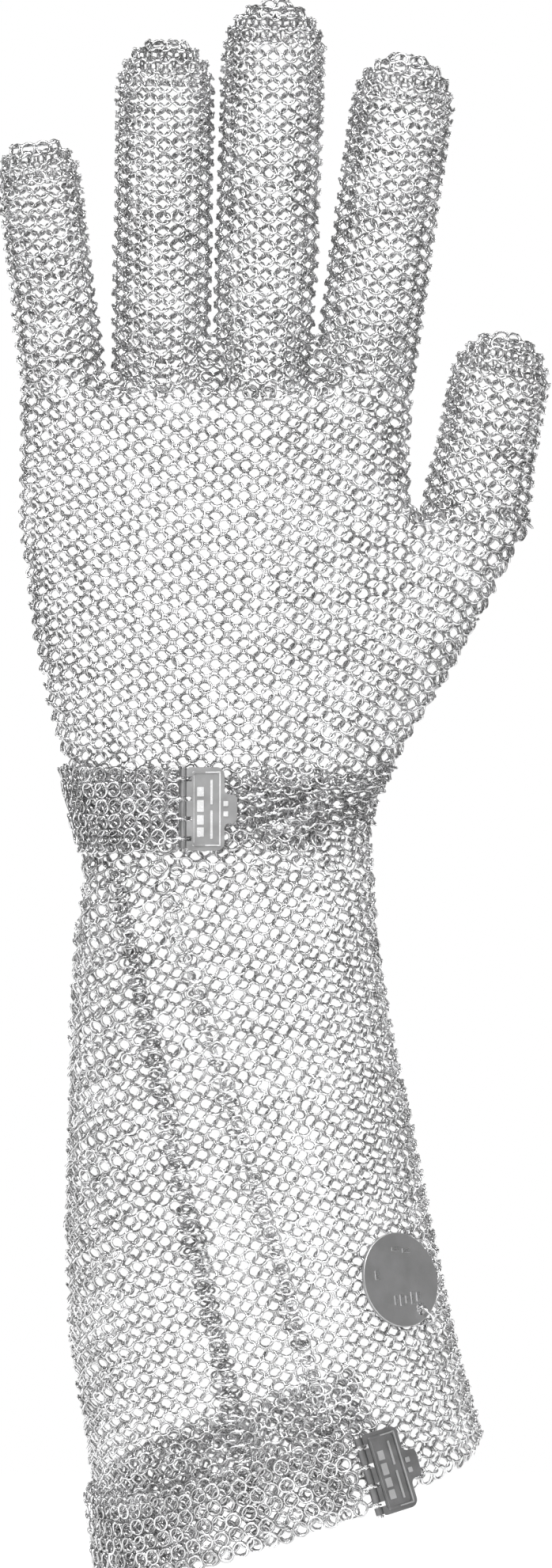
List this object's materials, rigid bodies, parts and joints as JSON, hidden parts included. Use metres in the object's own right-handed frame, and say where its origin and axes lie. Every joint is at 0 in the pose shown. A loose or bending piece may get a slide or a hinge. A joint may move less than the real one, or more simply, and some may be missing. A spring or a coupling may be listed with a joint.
{
  "type": "chain mail glove",
  "caption": "Stainless ring-mail glove for butchery with a long forearm cuff, wrist and hem straps closed by hooked plates, and a round size tag.",
  "frame": {"origin": "middle of the cuff opening", "axes": "+Z from the cuff opening to the fingertips, +X towards the thumb, -Y out of the back of the hand"},
  "size_m": [0.1398, 0.0848, 0.4],
  "materials": {
    "ring_mail": "welded stainless wire rings, tumbled bright",
    "bright_wire": "bright drawn stainless wire",
    "clasp_steel": "bright stamped stainless sheet",
    "matt_steel": "matt grey stainless sheet"
  },
  "bodies": {
    "sleeve": {"sleeve_palm_panel": "ring_mail", "sleeve_left_panel": "ring_mail", "sleeve_gusset": "ring_mail", "sleeve_right_panel": "ring_mail", "gusset_edge_rings": "bright_wire", "hem_strap": "ring_mail", "wrist_fold_band": "ring_mail", "hem_clasp_wire": "bright_wire", "hem_clasp_links": "bright_wire", "tag_ring": "bright_wire"},
    "hand": {"hand_back_panel": "ring_mail", "hand_palm_panel": "ring_mail", "wrist_strap": "ring_mail", "wrist_clasp_wire": "bright_wire", "wrist_clasp_links": "bright_wire"},
    "wrist_clasp": {"wrist_clasp_plate": "clasp_steel", "wrist_clasp_hooks": "clasp_steel"},
    "hem_clasp": {"hem_clasp_plate": "matt_steel", "hem_clasp_hooks": "matt_steel"},
    "tag": {"size_tag": "matt_steel"},
    "little_lower": {"little_lower_stall": "ring_mail"},
    "little_upper": {"little_upper_stall": "ring_mail"},
    "ring_lower": {"ring_lower_stall": "ring_mail"},
    "ring_upper": {"ring_upper_stall": "ring_mail"},
    "middle_lower": {"middle_lower_stall": "ring_mail"},
    "middle_upper": {"middle_upper_stall": "ring_mail"},
    "index_lower": {"index_lower_stall": "ring_mail"},
    "index_upper": {"index_upper_stall": "ring_mail"},
    "thumb_lower": {"thumb_lower_stall": "ring_mail"},
    "thumb_upper": {"thumb_upper_stall": "ring_mail"}
  },
  "joints": [
    {"name": "wrist_fold", "type": "hinge", "parent": "sleeve", "child": "hand", "pos_m": [-0.0164, 0, 0.151], "axis": [-1, 0, 0], "range_deg": [-50, 50], "deforming": ["wrist_fold_band"]},
    {"name": "little_root_fold", "type": "hinge", "parent": "hand", "child": "little_lower", "pos_m": [-0.0584, 0.00647, 0.288], "axis": [-0.9929, 0, -0.1188], "range_deg": [0, 75]},
    {"name": "little_middle_fold", "type": "hinge", "parent": "little_lower", "child": "little_upper", "pos_m": [-0.06149, 0.00647, 0.31382], "axis": [-0.9929, 0, -0.1188], "range_deg": [0, 75]},
    {"name": "ring_root_fold", "type": "hinge", "parent": "hand", "child": "ring_lower", "pos_m": [-0.0332, 0.00717, 0.296], "axis": [-0.9999, 0, 0.0159], "range_deg": [0, 75]},
    {"name": "ring_middle_fold", "type": "hinge", "parent": "ring_lower", "child": "ring_upper", "pos_m": [-0.03266, 0.00717, 0.33], "axis": [-0.9999, 0, 0.0159], "range_deg": [0, 75]},
    {"name": "middle_root_fold", "type": "hinge", "parent": "hand", "child": "middle_lower", "pos_m": [-0.0072, 0.00752, 0.3], "axis": [-0.9993, 0, 0.037], "range_deg": [0, 75]},
    {"name": "middle_middle_fold", "type": "hinge", "parent": "middle_lower", "child": "middle_upper", "pos_m": [-0.00583, 0.00752, 0.33697], "axis": [-0.9993, 0, 0.037], "range_deg": [0, 75]},
    {"name": "index_root_fold", "type": "hinge", "parent": "hand", "child": "index_lower", "pos_m": [0.0196, 0.00717, 0.297], "axis": [-0.9901, 0, 0.1404], "range_deg": [0, 75]},
    {"name": "index_middle_fold", "type": "hinge", "parent": "index_lower", "child": "index_upper", "pos_m": [0.02409, 0.00717, 0.32868], "axis": [-0.9901, 0, 0.1404], "range_deg": [0, 75]},
    {"name": "thumb_root_fold", "type": "hinge", "parent": "hand", "child": "thumb_lower", "pos_m": [0.0466, 0.0077, 0.254], "axis": [-0.9831, 0, 0.1829], "range_deg": [0, 60]},
    {"name": "thumb_middle_fold", "type": "hinge", "parent": "thumb_lower", "child": "thumb_upper", "pos_m": [0.04971, 0.0077, 0.27071], "axis": [-0.9831, 0, 0.1829], "range_deg": [0, 60]},
    {"name": "wrist_clasp_swing", "type": "hinge", "parent": "hand", "child": "wrist_clasp", "pos_m": [-0.02769, -0.025, 0.17663], "axis": [-0.0024, -0.0581, -0.9983], "range_deg": [0, 100]},
    {"name": "hem_clasp_swing", "type": "hinge", "parent": "sleeve", "child": "hem_clasp", "pos_m": [0.01915, -0.04023, 0.00898], "axis": [0.2849, 0.0218, -0.9583], "range_deg": [0, 100]},
    {"name": "tag_swing", "type": "hinge", "parent": "sleeve", "child": "tag", "pos_m": [0.03343, -0.0239, 0.04898], "axis": [0.5516, 0.5795, 0.5999], "range_deg": [0, 140]}
  ]
}
